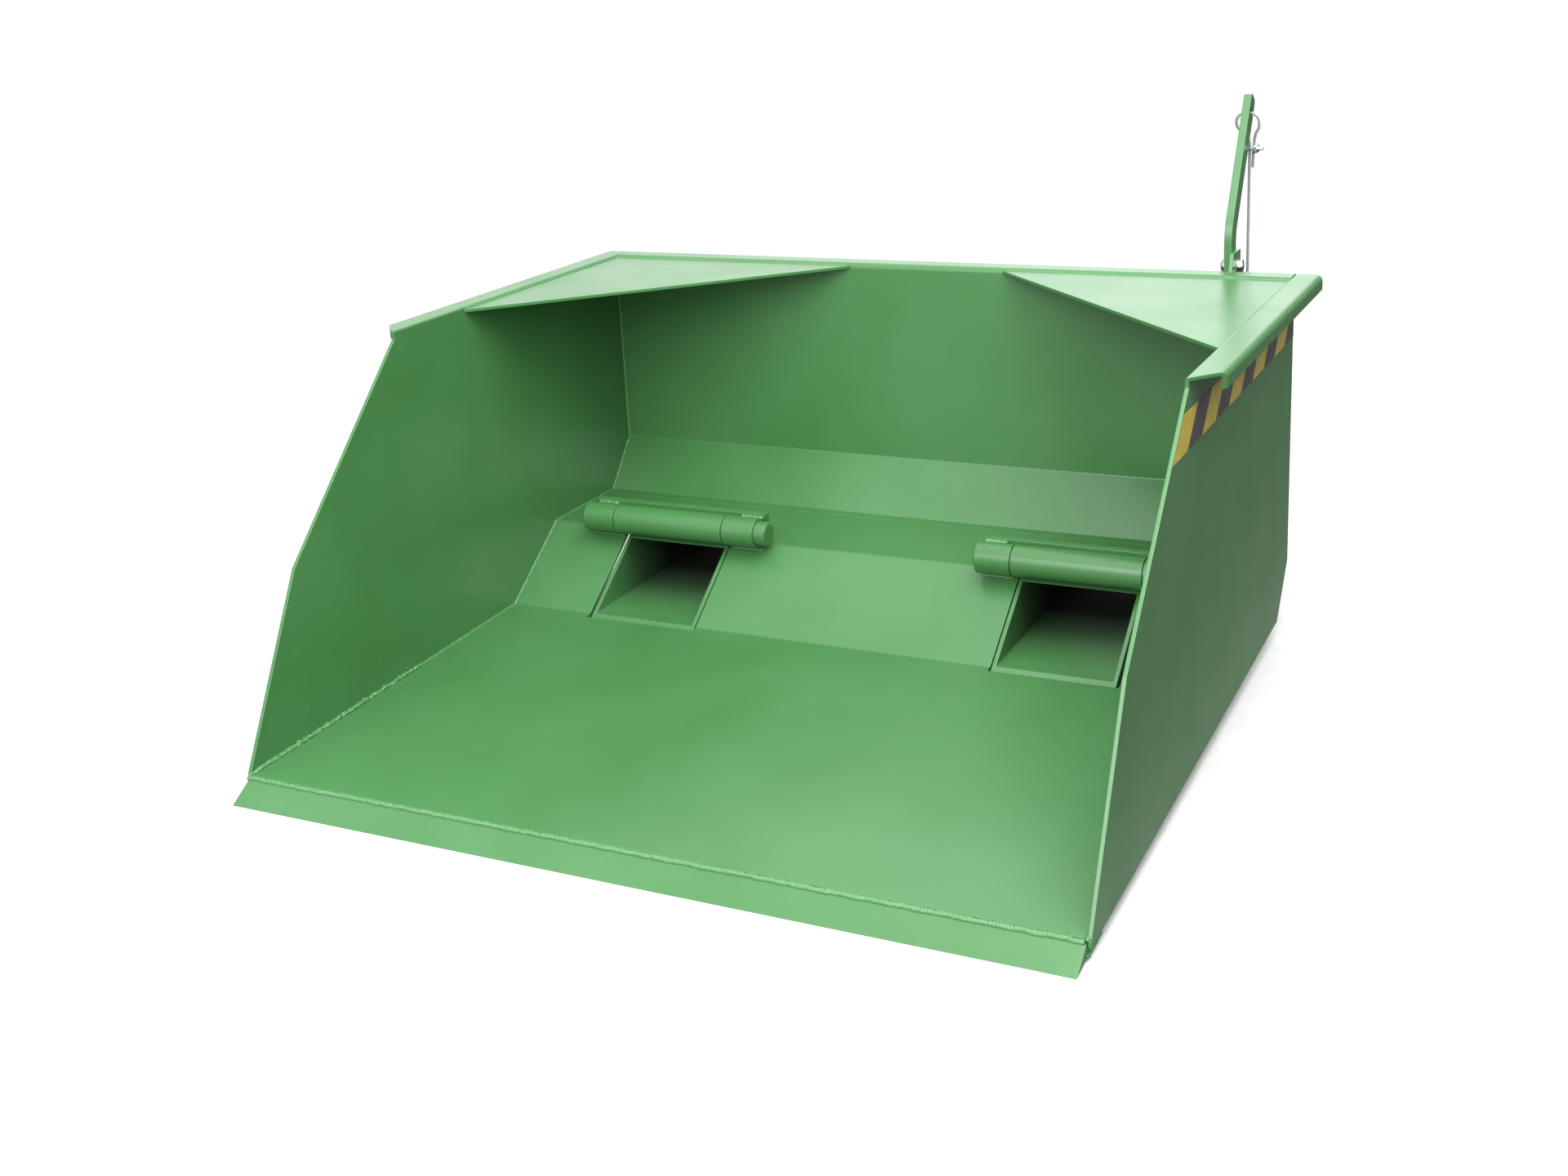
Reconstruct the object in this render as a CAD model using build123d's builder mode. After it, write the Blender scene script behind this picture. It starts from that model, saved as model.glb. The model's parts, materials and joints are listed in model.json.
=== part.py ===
"""Tipping bucket that a lift truck carries on its forks.

The bucket hinges on a fork frame of two pockets. A long lever on the bucket's back holds it
down by a catch on the right pocket, and a wire rope through the lever's top lets it go.
Millimetres. +X is the bucket's right, +Y runs from the cutting edge to the lever, +Z is up.
The origin is on the ground, midway across and midway from the edge's tip to the lever's end.
"""
import os
from math import cos, hypot, pi, radians, sin, sqrt, tan

from build123d import *

# ---- the bucket's side outline: places along Y are counted back from the cutting edge's tip
tip_y = -650.5            # the cutting edge's tip, on the ground
body_width = 1200.0       # over the two side plates
rim_z = 564.0             # top of the rim
floor_front_y = tip_y + 41.0
floor_front_z = 27.0
ramp_foot_y = tip_y + 693.0
ramp_foot_z = 43.5
shelf_front_y = tip_y + 838.6
shelf_z = 146.0           # top of the shelf over the fork pockets
shelf_back_y = tip_y + 1029.0
wall_y = tip_y + 1101.0   # inner face of the back wall
wall_foot_z = 228.0       # where the wall meets its lower slope
side_kink = (tip_y + 180.0, 282.0)   # where the side's front edge bends
side_top_y = tip_y + 454.0
side_top_drop = 13.0      # from the rim down to the top of the front edge
side_heel_z = 111.0       # the side's back edge ends here
side_sole = (tip_y + 1034.0, 33.0)   # and its bottom edge there
side_toe_z = 17.0         # bottom of the side plate at the floor's front edge

# ---- sheet and rim
side_t = 5.0
sheet_t = 5.0
fold_r = 8.0              # inside radius of a fold
seam_back = 19.0          # the floor sheet ends this far before the back sheet's first fold
rim_out = 37.0            # rim over each side
rim_back = 42.0           # rim behind the back wall
rim_lip = 22.0            # height of the rim's turned-down edge
rim_edge_r = 4.0          # inside radius of the rim's folds
rim_slant = 44.0          # the rim's front end is cut back by this at its outer edge
rim_corner = 16.0         # radius of the rim's rear corners
gusset_back = 460.0       # a corner gusset's leg along the back wall
gusset_side = 467.0       # and along the side
gusset_t = 5.0

# ---- cutting edge bar
bar_depth = 90.0
bar_bevel = 36.0          # depth of the slanted face
bar_toe_y = 30.0          # its underside rises from here
bar_toe_z = 4.0
bar_heel_z = 9.0

# ---- hinge, one over each fork pocket
hinge_back = 815.0        # the axis, back from the tip
hinge_rise = 24.0         # the axis over the shelf
barrel_r = 24.5
pin_r = 20.0
pin_fit = 0.05            # radial clearance of a pin in a barrel
pin_length = 344.0
pin_chamfer = 3.0
pin_stands_out = {"left": 20.0, "right": 4.0}   # at the end nearer the middle
frame_barrel = (248.0, 450.0)                   # |X| of the frame's barrel
barrel_gap = 2.0          # between neighbouring barrels
bucket_barrel = 56.0      # length of each of the bucket's barrels
hinge_bar_t = 15.0
hinge_bar_h = 47.0
hinge_bar_gap = 2.0       # between the frame's barrel and the bar behind it
foot_behind = 12.0        # a bucket barrel's foot starts this far behind the axis
frame_foot_start = 5.0    # a frame barrel's foot starts this far behind it
frame_foot_in = 1.0       # and this far inside the barrel's underside

# ---- fork pockets and frame
pocket_x = (251.5, 441.5)  # |X| of a pocket tube's outer faces
pocket_wall = 6.0
pocket_z = 39.0            # underside
pocket_back_y = tip_y + 1150.0
seat_gap = 0.3             # between the shelf and the pocket under it
mouth_gap_in = 2.5         # between a pocket and the ramp's cut-out, on the inner side
mouth_gap_out = 5.5        # and on the outer side
sweep_gap = 1.5            # between a pocket's front corner and the floor's edge that swings past
skid_front_y = tip_y + 862.0
skid_width = 60.0
tube_wall = 4.0
front_tie = (tip_y + 862.0, 40.0, 60.0, 60.0)   # y, depth, z, height of the front cross tube
rear_tie = (tip_y + 1085.0, 60.0, 50.0, 80.0)

# ---- release lever, its bolt and its catch
lever_x = 482.0           # left face
lever_t = 12.0
lever_w = 30.0
lever_gap = 4.0           # between the lever and the rim's back edge
pivot_rise = 4.0          # the pivot over the rim
lever_kink = 59.0         # height of the kink over the pivot, on the front edge
lever_lean = 32.5         # degrees from upright
lever_arm = 236.0         # from the kink to the end
lever_bend = 45.0         # inside radius of the bend at the kink
lever_end_r = 8.0
eye_hole_r = 7.0
eye_hole_back = 28.0      # from the lever's end to the hole
latch_angle = 4.0         # degrees that the lever turns to latch
stud_r = 12.5
stud_back = 31.0          # the stud's axis behind the pivot
stud_z = 100.0
stud_clear = 2.5          # between the stud and the nose under it, when latched
nose_past = 4.0           # the nose reaches this far past the stud's axis
nose_h = 28.0
nose_slope = 14.0
collar_r = 17.0
collar_t = 6.0
collar_gap = 6.0          # between the lever and the stud's collar
catch_t = 8.0
catch_front_y = tip_y + 1060.0
catch_margin = 8.0        # plate round the stud
ear_t = 6.0
ear_gap = 0.6
ear_front = 20.0          # the ear starts this far before the rim's back edge
ear_reach = 19.0          # from the pivot to the ear's back edge
ear_top = 24.0
ear_below = 28.0
bolt_r = 6.0
bolt_fit = 0.05
bolt_head_r = 11.0
bolt_head_h = 7.0
bolt_head_rim = 1.0       # straight edge under the head's dome
washer_r = 12.0
washer_t = 2.0
nut_flats = 19.0
nut_t = 6.0
bolt_past = 1.0
face_gap = 0.3

# ---- wire rope and what is on it
rope_d = 5.0
rope_right = 4.5          # the rope's long fall, to the right of the lever's middle
rope_lift = 2.0           # the rope over the lowest place that it could have in the hole
tail_gap = 0.5            # between the fall and the short end beside it
grip_r = 14.0
grip_length = 110.0
grip_round = 6.0
ferrule_r = 5.5
ferrule_length = 22.0
ferrule_floor = 4.0
ferrule_chamfer = 1.5
rope_fit = 0.05
rope_end_z = 104.0        # the rope's lower end, in the ferrule
clip_drop = 57.0          # from the lever's hole down to the clip
clip_h = 12.0
clip_rod = 4.0
clip_slack = 0.2          # between the rope and the clip's legs
clip_leg = 21.0           # from the fall to the ends of the clip's legs
saddle_t = 6.0
saddle_groove = 1.2       # depth of the tail's groove in the saddle
saddle_margin = 3.0       # metal outside the legs
saddle_corner = 2.5
clip_nut_flats = 7.0
clip_nut_t = 3.2

# ---- tape
tape_t = 0.4
tape_drop = 41.0          # from the rim's top to the tape
tape_h = 50.0
tape_margin = 2.0         # from the side plate's front edge

# ---- worked out from the sizes above
half = body_width / 2
hinge_y = tip_y + hinge_back
hinge_z = shelf_z + hinge_rise
rim_back_y = wall_y + sheet_t + rim_back
rim_x = half + rim_out
side_front = [side_kink, (side_top_y, rim_z - side_top_drop)]
side_heel = [(wall_y + sheet_t, side_heel_z), side_sole]
gusset_top = rim_z - rim_edge_r
pocket_top = shelf_z - sheet_t - seat_gap
ramp_slope = (shelf_z - ramp_foot_z) / (shelf_front_y - ramp_foot_y)
mouth_foot_y = ramp_foot_y - (ramp_foot_z - pocket_z) / ramp_slope
bar_front_y = hinge_y + barrel_r + hinge_bar_gap
pivot_y = rim_back_y + lever_gap + lever_w / 2
pivot_z = rim_z + pivot_rise
pivot = (pivot_y, pivot_z)
stud_y = pivot_y + stud_back
tape_high_z = rim_z - tape_drop
tape_low_z = tape_high_z - tape_h
SIDES = {"left": -1, "right": 1}

os.makedirs("parts", exist_ok=True)


def save(name, solid):
    """Label a finished piece and write it to parts/."""
    solid.label = name
    export_step(solid, f"parts/{name}.step")


def from_x(side, near, far):
    """The YZ plane where a stretch of |X| starts on this side, and the stretch's length."""
    low = near if SIDES[side] > 0 else -far
    return Plane.YZ.offset(low), far - near


def turn(point, centre, angle):
    """A (y, z) point turned about a centre by an angle in degrees, +Y towards +Z."""
    y, z = point[0] - centre[0], point[1] - centre[1]
    a = radians(angle)
    return centre[0] + y * cos(a) - z * sin(a), centre[1] + y * sin(a) + z * cos(a)


def offset_path(path, distance):
    """The path moved to its right by a distance, with sharp corners."""
    normals = []
    for (y0, z0), (y1, z1) in zip(path, path[1:]):
        run = hypot(y1 - y0, z1 - z0)
        normals.append(((z1 - z0) / run, (y0 - y1) / run))
    ends = [normals[0]] + normals + [normals[-1]]
    moved = []
    for (y, z), before, after in zip(path, ends, ends[1:]):
        share = distance / (1 + before[0] * after[0] + before[1] * after[1])
        moved.append((y + (before[0] + after[0]) * share, z + (before[1] + after[1]) * share))
    return moved


def folded_face(path, thickness, radius):
    """A folded sheet's section. Its path is the face on the left, and the metal lies to the right."""
    left, right = [], []
    for (y0, z0), (y1, z1), (y2, z2) in zip(path, path[1:], path[2:]):
        turns_left = (y1 - y0) * (z2 - z1) - (z1 - z0) * (y2 - y1) > 0
        left.append(radius if turns_left else radius + thickness)
        right.append(radius + thickness if turns_left else radius)
    other = offset_path(path, thickness)
    FilletPolyline(*path, radius=left)
    FilletPolyline(*other, radius=right)
    Line(path[0], other[0])
    Line(path[-1], other[-1])


# ======================================================================== the bucket
corner_radius = hypot(mouth_foot_y - hinge_y, pocket_z - hinge_z) + sweep_gap
cut_front_y = hinge_y - sqrt(corner_radius**2 - (hinge_z - ramp_foot_z) ** 2)
cut_x = (pocket_x[0] - mouth_gap_in, pocket_x[1] + mouth_gap_out)
inner_width = body_width - 2 * side_t

with BuildPart() as floor_sheet:
    with BuildSketch(Plane.YZ.offset(-inner_width / 2)):
        with BuildLine():
            folded_face(
                [
                    (floor_front_y, floor_front_z),
                    (ramp_foot_y, ramp_foot_z),
                    (shelf_front_y, shelf_z),
                    (shelf_back_y - seam_back, shelf_z),
                ],
                sheet_t,
                fold_r,
            )
        make_face()
    extrude(amount=inner_width)
    with BuildSketch(Plane.XY):
        for sign in SIDES.values():
            with Locations((sign * (cut_x[0] + cut_x[1]) / 2, (cut_front_y + bar_front_y) / 2)):
                Rectangle(cut_x[1] - cut_x[0], bar_front_y - cut_front_y)
    extrude(amount=rim_z, mode=Mode.SUBTRACT)
save("floor_sheet", floor_sheet.part)

with BuildPart() as back_sheet:
    with BuildSketch(Plane.YZ.offset(-inner_width / 2)):
        with BuildLine():
            folded_face(
                [
                    (shelf_back_y - seam_back, shelf_z),
                    (shelf_back_y, shelf_z),
                    (wall_y, wall_foot_z),
                    (wall_y, rim_z),
                    (rim_back_y, rim_z),
                    (rim_back_y, rim_z - rim_lip),
                ],
                sheet_t,
                rim_edge_r,
            )
        make_face()
    extrude(amount=inner_width)
save("back_sheet", back_sheet.part)


def side_plate(side):
    """A side plate with its rim turned outward and its edge turned down."""
    sign = SIDES[side]
    inner = half - side_t
    front_top_y = side_front[-1][0]
    slant_y = front_top_y + rim_slant
    outline = [
        (floor_front_y, side_toe_z),
        (floor_front_y, floor_front_z),
        *side_front,
        (front_top_y, rim_z),
        (wall_y + sheet_t, rim_z),
        *side_heel,
    ]
    rim_outline = [
        (inner, front_top_y),
        (half, front_top_y),
        (rim_x, slant_y),
        (rim_x, rim_back_y),
        (inner, rim_back_y),
    ]
    hollow_outline = [
        (inner, front_top_y - sheet_t),
        (rim_x - sheet_t, front_top_y - sheet_t),
        (rim_x - sheet_t, rim_back_y - sheet_t),
        (inner, rim_back_y - sheet_t),
    ]

    def outermost(edges):
        """The edge nearest to the rim's rear corner."""
        return edges.sort_by(lambda edge: abs(edge.center().X) + edge.center().Y)[-1]

    def rim_block(outline, height, corner_r, edge_r):
        """The outline stood on the rim's lower edge, rounded at the rear corner and on top."""
        top = rim_z - rim_lip + height
        with BuildPart() as block:
            with BuildSketch(Plane.XY.offset(rim_z - rim_lip)):
                Polygon(*[(sign * x, y) for x, y in outline], align=None)
            extrude(amount=height)
            fillet(outermost(block.edges().filter_by(Axis.Z)), radius=corner_r)
            brim = block.edges().filter_by_position(Axis.Z, top - 0.01, top + 0.01)
            fillet(outermost(brim), radius=edge_r)
        return block.part

    with BuildPart() as plate:
        plane, width = from_x(side, inner, half)
        add(rim_block(rim_outline, rim_lip, rim_corner, rim_edge_r + sheet_t))
        add(
            rim_block(hollow_outline, rim_lip - sheet_t, rim_corner - sheet_t, rim_edge_r),
            mode=Mode.SUBTRACT,
        )
        with BuildSketch(plane):
            Polygon(*outline, align=None)
        extrude(amount=width)
        lengthwise = plate.edges().filter_by(Axis.Y)
        on_top = lengthwise.filter_by_position(Axis.Z, rim_z - 0.01, rim_z + 0.01)
        fillet(on_top.sort_by(lambda edge: abs(edge.center().X))[0], radius=rim_edge_r)
    return plate.part


def corner_gusset(side):
    """The flat triangle between a side and the back wall, just under the rim's top."""
    sign = SIDES[side]
    x = half - side_t
    with BuildPart() as gusset:
        with BuildSketch(Plane.XY.offset(gusset_top - gusset_t)):
            Polygon(
                (sign * x, wall_y),
                (sign * (x - gusset_back), wall_y),
                (sign * x, wall_y - gusset_side),
                align=None,
            )
        extrude(amount=gusset_t)
    return gusset.part


for side in SIDES:
    save(f"side_plate_{side}", side_plate(side))
    save(f"corner_gusset_{side}", corner_gusset(side))

floor_rise = (ramp_foot_z - floor_front_z) / (ramp_foot_y - floor_front_y)


def floor_under(y):
    """Height of the floor sheet's underside."""
    return floor_front_z + (y - floor_front_y) * floor_rise - sheet_t * sqrt(1 + floor_rise**2)


bar_back_y = tip_y + bar_depth
bevel_y = tip_y + bar_bevel
with BuildPart() as cutting_edge:
    with BuildSketch(Plane.YZ.offset(-inner_width / 2)):
        Polygon(
            (tip_y, 0),
            (tip_y + bar_toe_y, bar_toe_z),
            (bar_back_y, bar_heel_z),
            (bar_back_y, floor_under(bar_back_y)),
            (bevel_y, floor_under(bevel_y)),
            align=None,
        )
    extrude(amount=inner_width)
save("cutting_edge", cutting_edge.part)


# ======================================================================== the hinges
def ramp_z(y):
    """Height of the ramp's upper face."""
    return shelf_z - (shelf_front_y - y) * ramp_slope


def barrel(side, span, foot, foot_span):
    """A hinge barrel on its foot, bored for the pin."""
    plane, length = from_x(side, *span)
    foot_plane, foot_length = from_x(side, *foot_span)
    with BuildPart() as tube:
        with BuildSketch(plane):
            with Locations((hinge_y, hinge_z)):
                Circle(barrel_r)
        extrude(amount=length)
        with BuildSketch(foot_plane):
            Polygon(*foot, align=None)
        extrude(amount=foot_length)
        with BuildSketch(plane):
            with Locations((hinge_y, hinge_z)):
                Circle(pin_r + pin_fit)
        extrude(amount=length, mode=Mode.SUBTRACT)
    return tube.part


def hinge_pin(side):
    """A hinge pin, chamfered at both ends."""
    near = frame_barrel[0] - barrel_gap - bucket_barrel - pin_stands_out[side]
    plane, length = from_x(side, near, near + pin_length)
    with BuildPart() as pin:
        with BuildSketch(plane):
            with Locations((hinge_y, hinge_z)):
                Circle(pin_r)
        extrude(amount=length)
        chamfer(pin.edges().filter_by(GeomType.CIRCLE), length=pin_chamfer)
    return pin.part


foot_y = hinge_y + foot_behind
bucket_foot = [
    (foot_y, ramp_z(foot_y)),
    (shelf_front_y, shelf_z),
    (bar_front_y, shelf_z),
    (bar_front_y, hinge_z),
    (foot_y, hinge_z),
]
mouth_top_y = shelf_front_y - (shelf_z - pocket_top) / ramp_slope
frame_foot_front = hinge_y + frame_foot_start
frame_foot_back = bar_front_y - hinge_bar_gap
frame_foot = [
    (frame_foot_front, hinge_z - barrel_r + frame_foot_in),
    (mouth_top_y, pocket_top),
    (frame_foot_back, pocket_top),
    (frame_foot_back, hinge_z),
    (frame_foot_front, hinge_z),
]
inner_far = frame_barrel[0] - barrel_gap
inner_span = (inner_far - bucket_barrel, inner_far)
outer_near = frame_barrel[1] + barrel_gap
outer_span = (outer_near, outer_near + bucket_barrel)

for side in SIDES:
    save(f"frame_barrel_{side}", barrel(side, frame_barrel, frame_foot, pocket_x))
    save(f"bucket_barrel_{side}_in", barrel(side, inner_span, bucket_foot, inner_span))
    save(f"bucket_barrel_{side}_out", barrel(side, outer_span, bucket_foot, outer_span))
    save(f"hinge_pin_{side}", hinge_pin(side))
    plane, length = from_x(side, inner_span[0], outer_span[1])
    with BuildPart() as hinge_bar:
        with BuildSketch(plane):
            Polygon(
                (bar_front_y, shelf_z),
                (bar_front_y + hinge_bar_t, shelf_z),
                (bar_front_y + hinge_bar_t, shelf_z + hinge_bar_h),
                (bar_front_y, shelf_z + hinge_bar_h),
                align=None,
            )
        extrude(amount=length)
    save(f"hinge_bar_{side}", hinge_bar.part)


# ======================================================================== the fork frame
def fork_pocket(side):
    """A fork pocket: a box tube open at both ends, its mouth cut in the plane of the ramp."""
    plane, width = from_x(side, *pocket_x)
    with BuildPart() as pocket:
        with BuildSketch(plane):
            Polygon(
                (mouth_foot_y, pocket_z),
                (pocket_back_y, pocket_z),
                (pocket_back_y, pocket_top),
                (mouth_top_y, pocket_top),
                align=None,
            )
        extrude(amount=width)
        middle = SIDES[side] * (pocket_x[0] + pocket_x[1]) / 2
        bore = pocket_top - pocket_z - 2 * pocket_wall
        with BuildSketch(Plane.XZ.offset(-pocket_back_y)):
            with Locations((middle, (pocket_top + pocket_z) / 2)):
                Rectangle(width - 2 * pocket_wall, bore)
        extrude(amount=pocket_back_y - mouth_foot_y, mode=Mode.SUBTRACT)
    return pocket.part


def box_tube_x(y, depth, z, height, near, far):
    """A square-cornered tube along X."""
    with BuildPart() as tube:
        with BuildSketch(Plane.YZ.offset(near)):
            with Locations((y + depth / 2, z + height / 2)):
                Rectangle(depth, height)
                Rectangle(depth - 2 * tube_wall, height - 2 * tube_wall, mode=Mode.SUBTRACT)
        extrude(amount=far - near)
    return tube.part


def skid(side):
    """The box tube under a pocket that stands on the ground."""
    middle = SIDES[side] * (pocket_x[0] + pocket_x[1]) / 2
    with BuildPart() as tube:
        with BuildSketch(Plane.XZ.offset(-pocket_back_y)):
            with Locations((middle, pocket_z / 2)):
                Rectangle(skid_width, pocket_z)
                Rectangle(skid_width - 2 * tube_wall, pocket_z - 2 * tube_wall, mode=Mode.SUBTRACT)
        extrude(amount=pocket_back_y - skid_front_y)
    return tube.part


for side in SIDES:
    save(f"fork_pocket_{side}", fork_pocket(side))
    save(f"skid_{side}", skid(side))
save("front_cross_tube", box_tube_x(*front_tie, -pocket_x[0], pocket_x[0]))
save("rear_cross_tube", box_tube_x(*rear_tie, -pocket_x[0], pocket_x[0]))

catch_back_y = stud_y + stud_r + catch_margin
catch_far_x = pocket_x[1] + catch_t
with BuildPart() as catch_plate:
    with BuildSketch(Plane.YZ.offset(pocket_x[1])):
        Polygon(
            (catch_front_y, pocket_z + pocket_wall),
            (catch_back_y, stud_z - stud_r - catch_margin),
            (catch_back_y, stud_z + stud_r + catch_margin),
            (catch_front_y, pocket_top - pocket_wall),
            align=None,
        )
    extrude(amount=catch_t)
save("catch_plate", catch_plate.part)

collar_x = lever_x + lever_t + collar_gap
with BuildPart() as catch_stud:
    with BuildSketch(Plane.YZ.offset(catch_far_x)):
        with Locations((stud_y, stud_z)):
            Circle(stud_r)
    extrude(amount=collar_x - catch_far_x)
    with BuildSketch(Plane.YZ.offset(collar_x)):
        with Locations((stud_y, stud_z)):
            Circle(collar_r)
    extrude(amount=collar_t)
save("catch_stud", catch_stud.part)


# ======================================================================== the release lever
lever_front_y = pivot_y - lever_w / 2
lever_back_y = pivot_y + lever_w / 2
lean = radians(lever_lean)
along = (sin(lean), cos(lean))
across = (cos(lean), -sin(lean))
kink_front = (lever_front_y, pivot_z + lever_kink)
kink_back = (lever_back_y, pivot_z + lever_kink - lever_w * tan(lean / 2))
end_front = (kink_front[0] + lever_arm * along[0], kink_front[1] + lever_arm * along[1])
end_back = (end_front[0] + lever_w * across[0], end_front[1] + lever_w * across[1])
eye_y = (end_front[0] + end_back[0]) / 2 - eye_hole_back * along[0]
eye_z = (end_front[1] + end_back[1]) / 2 - eye_hole_back * along[1]

nose_top = stud_z - stud_r - stud_clear
nose_tip = stud_y + nose_past
latched = [
    (lever_back_y, nose_top),
    (nose_tip, nose_top),
    (nose_tip - nose_slope, nose_top - nose_h),
    (lever_front_y, nose_top - nose_h),
]
nose = [turn(point, pivot, -latch_angle) for point in latched]
half_angle = tan(radians(latch_angle) / 2) * lever_w / 2

with BuildPart() as release_lever:
    with BuildSketch(Plane.YZ.offset(lever_x)) as lever_face:
        Polygon(
            end_front,
            kink_front,
            (lever_front_y, pivot_z + half_angle),
            nose[3],
            nose[2],
            nose[1],
            nose[0],
            (lever_back_y, pivot_z - half_angle),
            kink_back,
            end_back,
            align=None,
        )
        ends = lever_face.vertices().sort_by(Axis.Y)[-2:]
        fillet(ends, radius=lever_end_r)
        for place, radius in ((kink_front, lever_bend + lever_w), (kink_back, lever_bend)):
            fillet(lever_face.vertices().sort_by_distance(place)[0], radius=radius)
        with Locations(pivot):
            Circle(bolt_r + bolt_fit, mode=Mode.SUBTRACT)
        with Locations((eye_y, eye_z)):
            Circle(eye_hole_r, mode=Mode.SUBTRACT)
    extrude(amount=lever_t)
save("release_lever", release_lever.part)

ear_x = lever_x + lever_t + ear_gap
ear_front_y = rim_back_y - ear_front
ear_back_y = pivot_y + ear_reach
with BuildPart() as lever_ear:
    with BuildSketch(Plane.YZ.offset(ear_x)) as ear_face:
        Polygon(
            (ear_front_y, rim_z),
            (ear_front_y + ear_front / 2, pivot_z + ear_top),
            (ear_back_y, pivot_z + ear_top),
            (ear_back_y, pivot_z - ear_below / 2),
            (pivot_y, pivot_z - ear_below),
            (rim_back_y, pivot_z - ear_below),
            (rim_back_y, rim_z),
            align=None,
        )
        with Locations(pivot):
            Circle(bolt_r + bolt_fit, mode=Mode.SUBTRACT)
    extrude(amount=ear_t)
save("lever_ear", lever_ear.part)

head_x = lever_x - face_gap
washer_x = ear_x + ear_t
nut_x = washer_x + washer_t
with BuildPart() as pivot_bolt:
    with BuildSketch(Plane.YZ.offset(head_x)):
        with Locations(pivot):
            Circle(bolt_r)
    extrude(amount=nut_x + nut_t + bolt_past - head_x)
    with BuildSketch(Plane.YZ.offset(head_x)):
        with Locations(pivot):
            Circle(bolt_head_r)
    extrude(amount=-bolt_head_h)
    crown = pivot_bolt.edges().filter_by(GeomType.CIRCLE).sort_by(Axis.X)[0]
    fillet(crown, radius=bolt_head_h - bolt_head_rim)
save("pivot_bolt", pivot_bolt.part)

with BuildPart() as pivot_washer:
    with BuildSketch(Plane.YZ.offset(washer_x)):
        with Locations(pivot):
            Circle(washer_r)
            Circle(bolt_r + bolt_fit, mode=Mode.SUBTRACT)
    extrude(amount=washer_t)
save("pivot_washer", pivot_washer.part)

with BuildPart() as pivot_nut:
    with BuildSketch(Plane.YZ.offset(nut_x)):
        with Locations(pivot):
            RegularPolygon(nut_flats / 2, 6, major_radius=False)
            Circle(bolt_r + bolt_fit, mode=Mode.SUBTRACT)
    extrude(amount=nut_t)
save("pivot_nut", pivot_nut.part)


# ======================================================================== the rope on the lever
main_x = lever_x + lever_t / 2 + rope_right
tail_x = main_x + rope_d + tail_gap
clip_end_x = main_x + clip_leg
ferrule_top = rope_end_z - ferrule_floor + ferrule_length
clip_z = eye_z - clip_drop
rope_run_z = eye_z - eye_hole_r + rope_d / 2 + rope_lift
rope_xz = [
    (tail_x, clip_z - 32),
    (tail_x, clip_z + 18),
    (tail_x + 11, rope_run_z - 22),
    (tail_x + 5, rope_run_z),
    (main_x - 19, rope_run_z),
    (main_x - 24, rope_run_z - 22),
    (main_x, clip_z + 17),
    (main_x, rope_end_z),
]
rope_points = [Vector(x, eye_y, z) for x, z in rope_xz]


def corner_radii(points):
    """The largest arc that the runs on both sides of each corner leave room for."""
    radii = []
    for a, b, c in zip(points, points[1:], points[2:]):
        turned = radians((b - a).get_angle(c - b))
        radii.append(0.45 * min((b - a).length, (c - b).length) / tan(turned / 2))
    return radii


rope_radii = corner_radii(rope_points)
with BuildPart() as pull_rope:
    with BuildLine() as rope_line:
        FilletPolyline(*rope_points, radius=rope_radii)
    with BuildSketch(Plane(rope_points[0], z_dir=rope_points[1] - rope_points[0])):
        Circle(rope_d / 2)
    sweep(path=rope_line.line)
save("pull_rope", pull_rope.part)
rope_length = rope_line.wires()[0].length
print("rope radii", [round(radius, 1) for radius in rope_radii])
print("rope length", round(rope_length, 1), "volume over section times length",
      round(pull_rope.part.volume / (pi * rope_d**2 / 4 * rope_length), 5))


def turned_piece(outline_r, low, high):
    """A round piece on the rope's long fall, standing from low to high."""
    with BuildPart() as piece:
        with BuildSketch(Plane.XY.offset(low)):
            with Locations((main_x, eye_y)):
                Circle(outline_r)
        extrude(amount=high - low)
    return piece.part


with BuildPart() as rope_ferrule:
    add(turned_piece(ferrule_r, rope_end_z - ferrule_floor, ferrule_top))
    with BuildSketch(Plane.XY.offset(rope_end_z)):
        with Locations((main_x, eye_y)):
            Circle(rope_d / 2 + rope_fit)
    extrude(amount=ferrule_length, mode=Mode.SUBTRACT)
    chamfer(rope_ferrule.edges().filter_by(GeomType.CIRCLE).sort_by(Axis.Z)[0], length=ferrule_chamfer)
save("rope_ferrule", rope_ferrule.part)

with BuildPart() as pull_grip:
    add(turned_piece(grip_r, ferrule_top, ferrule_top + grip_length))
    fillet(pull_grip.edges().filter_by(GeomType.CIRCLE), radius=grip_round)
    with BuildSketch(Plane.XY.offset(ferrule_top)):
        with Locations((main_x, eye_y)):
            Circle(rope_d / 2 + rope_fit)
    extrude(amount=grip_length, mode=Mode.SUBTRACT)
save("pull_grip", pull_grip.part)

leg_y = rope_d / 2 + clip_slack + clip_rod / 2
saddle_x = tail_x + rope_d / 2 + rope_fit - saddle_groove
nut_face_x = saddle_x + saddle_t
with BuildPart() as rope_clip_bolt:
    with BuildLine() as clip_line:
        Line((clip_end_x, eye_y - leg_y, clip_z), (main_x, eye_y - leg_y, clip_z))
        ThreePointArc(
            (main_x, eye_y - leg_y, clip_z),
            (main_x - leg_y, eye_y, clip_z),
            (main_x, eye_y + leg_y, clip_z),
        )
        Line((main_x, eye_y + leg_y, clip_z), (clip_end_x, eye_y + leg_y, clip_z))
    with BuildSketch(Plane((clip_end_x, eye_y - leg_y, clip_z), z_dir=(-1, 0, 0))):
        Circle(clip_rod / 2)
    sweep(path=clip_line.line)
save("rope_clip_bolt", rope_clip_bolt.part)

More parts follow.
